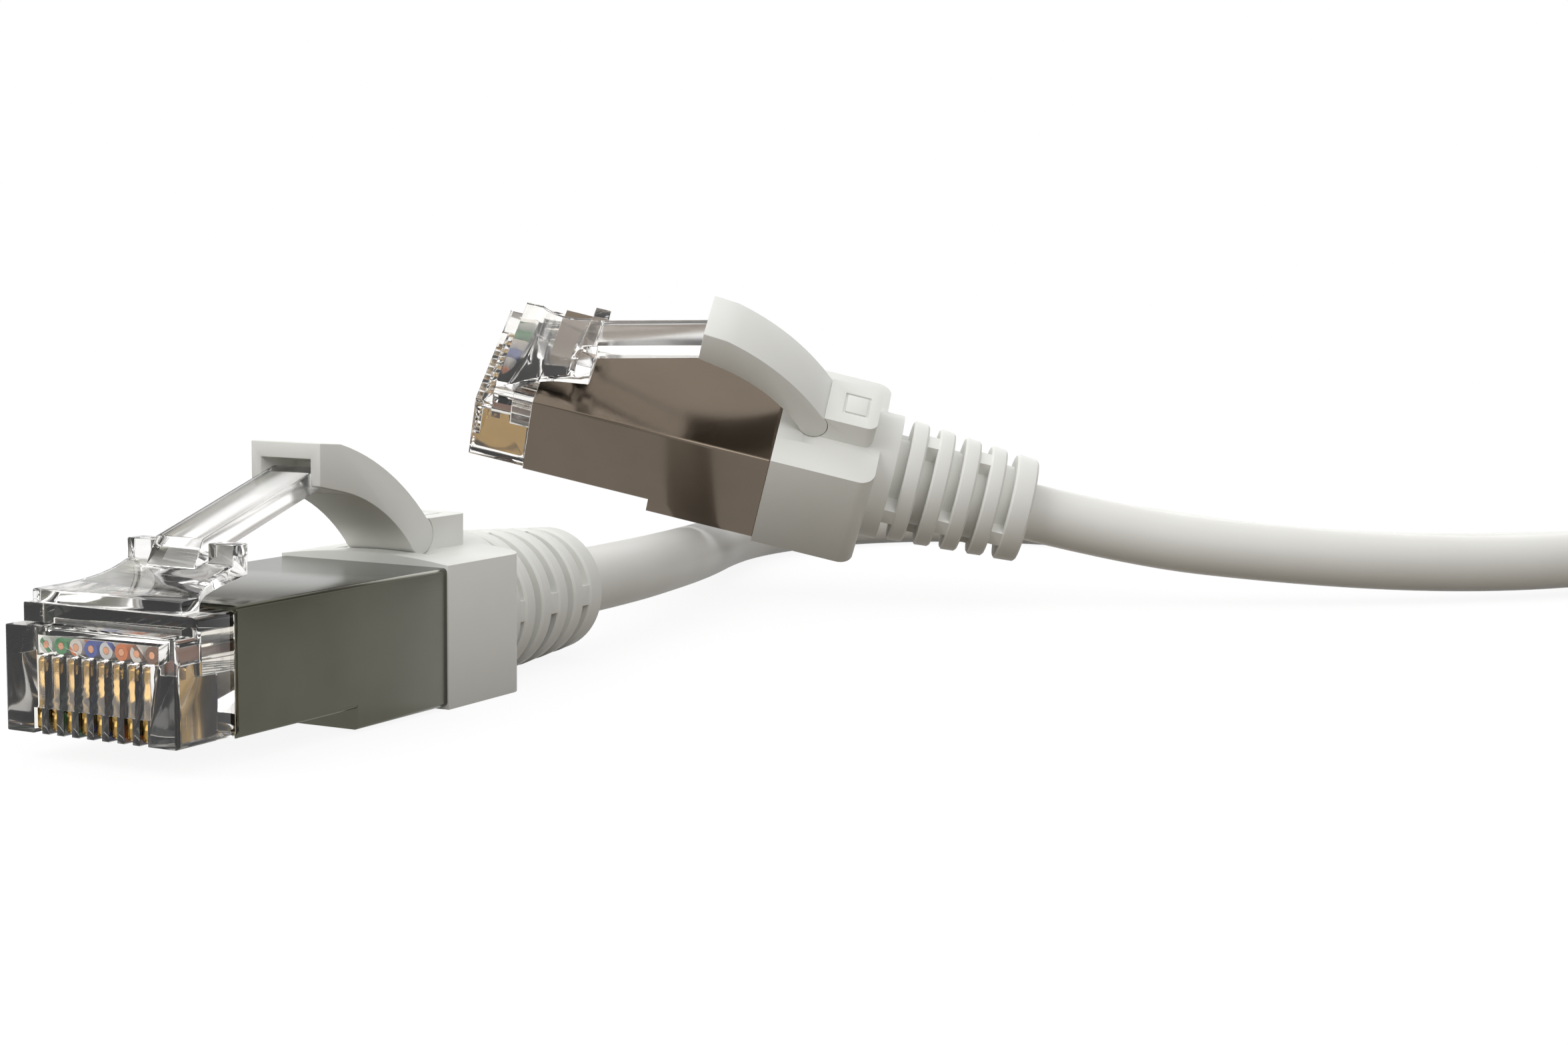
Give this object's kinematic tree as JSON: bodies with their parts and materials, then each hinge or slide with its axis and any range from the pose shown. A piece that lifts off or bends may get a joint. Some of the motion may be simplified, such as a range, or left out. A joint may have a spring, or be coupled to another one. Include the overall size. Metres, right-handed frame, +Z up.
{
  "type": "ethernet patch cable",
  "caption": "Shielded network patch cable: clear-nosed modular plugs with sprung latches and slotted strain-relief boots on a round cable, put away in a tied coil.",
  "frame": {"origin": "middle of the underside of the near plug's boot, on the surface that the cable lies on", "axes": "+Y from the near plug's nose towards its cable, +X across the plug, +Z up on its latch side"},
  "size_m": [0.1561, 0.1265, 0.0243],
  "materials": {
    "clear_polycarbonate": "polished",
    "gold_contact": "polished",
    "bare_copper": "satin",
    "nickel_sheet": "satin",
    "crimp_metal": "satin",
    "grey_boot": "satin",
    "grey_jacket": "satin",
    "dark_insert": "matte",
    "tie_fabric": "matte",
    "wire_white_green": "satin",
    "wire_green": "satin",
    "wire_white_orange": "satin",
    "wire_blue": "satin",
    "wire_white_blue": "satin",
    "wire_orange": "satin",
    "wire_white_brown": "satin",
    "wire_brown": "satin"
  },
  "bodies": {
    "cable_and_plugs": {"housing_a": "clear_polycarbonate", "contacts_a": "gold_contact", "load_bar_a": "clear_polycarbonate", "wire_cores_a": "bare_copper", "shield_a": "nickel_sheet", "boot_a": "grey_boot", "ferrule_a": "crimp_metal", "rear_collar_a": "dark_insert", "jacket_a": "grey_jacket", "wire_white_green_a": "wire_white_green", "wire_green_a": "wire_green", "wire_white_orange_a": "wire_white_orange", "wire_blue_a": "wire_blue", "wire_white_blue_a": "wire_white_blue", "wire_orange_a": "wire_orange", "wire_white_brown_a": "wire_white_brown", "wire_brown_a": "wire_brown", "housing_b": "clear_polycarbonate", "contacts_b": "gold_contact", "load_bar_b": "clear_polycarbonate", "wire_cores_b": "bare_copper", "shield_b": "nickel_sheet", "boot_b": "grey_boot", "ferrule_b": "crimp_metal", "rear_collar_b": "dark_insert", "jacket_b": "grey_jacket", "wire_white_green_b": "wire_white_green", "wire_green_b": "wire_green", "wire_white_orange_b": "wire_white_orange", "wire_blue_b": "wire_blue", "wire_white_blue_b": "wire_white_blue", "wire_orange_b": "wire_orange", "wire_white_brown_b": "wire_white_brown", "wire_brown_b": "wire_brown", "cable_from_a": "grey_jacket", "cable_coil": "grey_jacket", "cable_to_b": "grey_jacket", "coil_tie": "tie_fabric"},
    "lever_a": {"boot_lever_a": "grey_boot"},
    "latch_a": {"latch_a": "clear_polycarbonate"},
    "lever_b": {"boot_lever_b": "grey_boot"},
    "latch_b": {"latch_b": "clear_polycarbonate"}
  },
  "joints": [
    {"name": "lever_a_press", "type": "hinge", "parent": "cable_and_plugs", "child": "lever_a", "pos_m": [0, -0.00155, 0.00985], "axis": [1, 0, 0], "range_deg": [0, 14], "stiffness_Nm_per_rad": 0.05},
    {"name": "latch_a_press", "type": "hinge", "parent": "cable_and_plugs", "child": "latch_a", "pos_m": [0, -0.0243, 0.0081], "axis": [-1, 0, 0], "range_deg": [0, 8.4], "stiffness_Nm_per_rad": 0.02},
    {"name": "lever_b_press", "type": "hinge", "parent": "cable_and_plugs", "child": "lever_b", "pos_m": [0.00442, 0.04729, 0.01554], "axis": [0.2358, -0.7814, -0.5777], "range_deg": [0, 14], "stiffness_Nm_per_rad": 0.05},
    {"name": "latch_b_press", "type": "hinge", "parent": "cable_and_plugs", "child": "latch_b", "pos_m": [-0.01616, 0.03822, 0.0194], "axis": [-0.2358, 0.7814, 0.5777], "range_deg": [0, 8.4], "stiffness_Nm_per_rad": 0.02}
  ],
  "couplings": [
    {"joint": "latch_a_press", "follows": "lever_a_press", "ratio": 0.6},
    {"joint": "latch_b_press", "follows": "lever_b_press", "ratio": 0.6}
  ]
}
